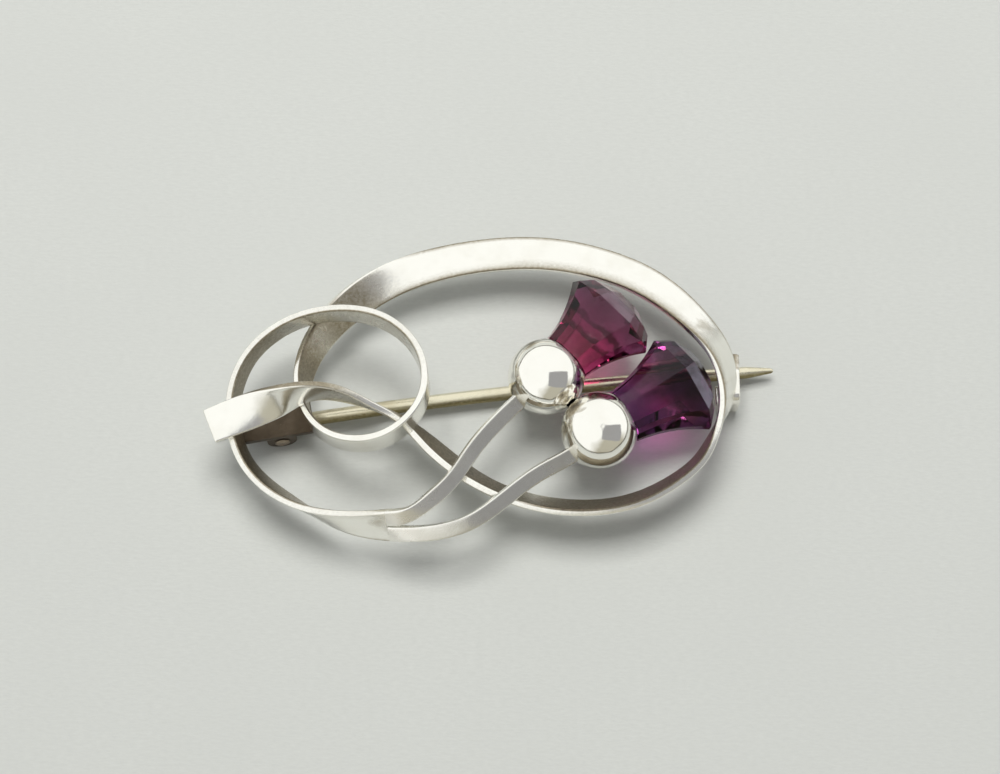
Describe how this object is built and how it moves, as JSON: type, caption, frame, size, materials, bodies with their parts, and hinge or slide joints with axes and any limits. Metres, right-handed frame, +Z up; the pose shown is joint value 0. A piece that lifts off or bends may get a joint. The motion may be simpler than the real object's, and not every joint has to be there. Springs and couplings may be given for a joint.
{
  "type": "brooch",
  "caption": "Silver thistle brooch: a looped ribbon with two globes, each with a fan-shaped purple cut stone, and a pin with hinge and hooked catch.",
  "frame": {"origin": "middle of the brooch's outline, on the surface that it lies on", "axes": "+X from the tail to the pin's point, +Y across it towards the wide flat arc, +Z up, the side that is seen when worn"},
  "size_m": [0.0462, 0.0263, 0.0085],
  "materials": {
    "silver": "polished silver, worn, with tarnish in the crooks and by the joints",
    "purple_stone": "polished facets, reddish purple",
    "dark_purple_stone": "polished facets, blackish purple",
    "pin_metal": "drawn wire, satin, yellowish",
    "rivet_metal": "dull, brown with tarnish"
  },
  "bodies": {
    "brooch": {"silver_frame": "silver", "upper_stone": "purple_stone", "lower_stone": "dark_purple_stone", "hinge_rivet": "rivet_metal"},
    "pin": {"pin_stem": "pin_metal"}
  },
  "joints": [
    {"name": "pin_turn", "type": "hinge", "parent": "brooch", "child": "pin", "pos_m": [-0.01737, -0.0022, 0.0012], "axis": [-0.1717, 0.9852, 0], "range_deg": [0, 80]}
  ]
}
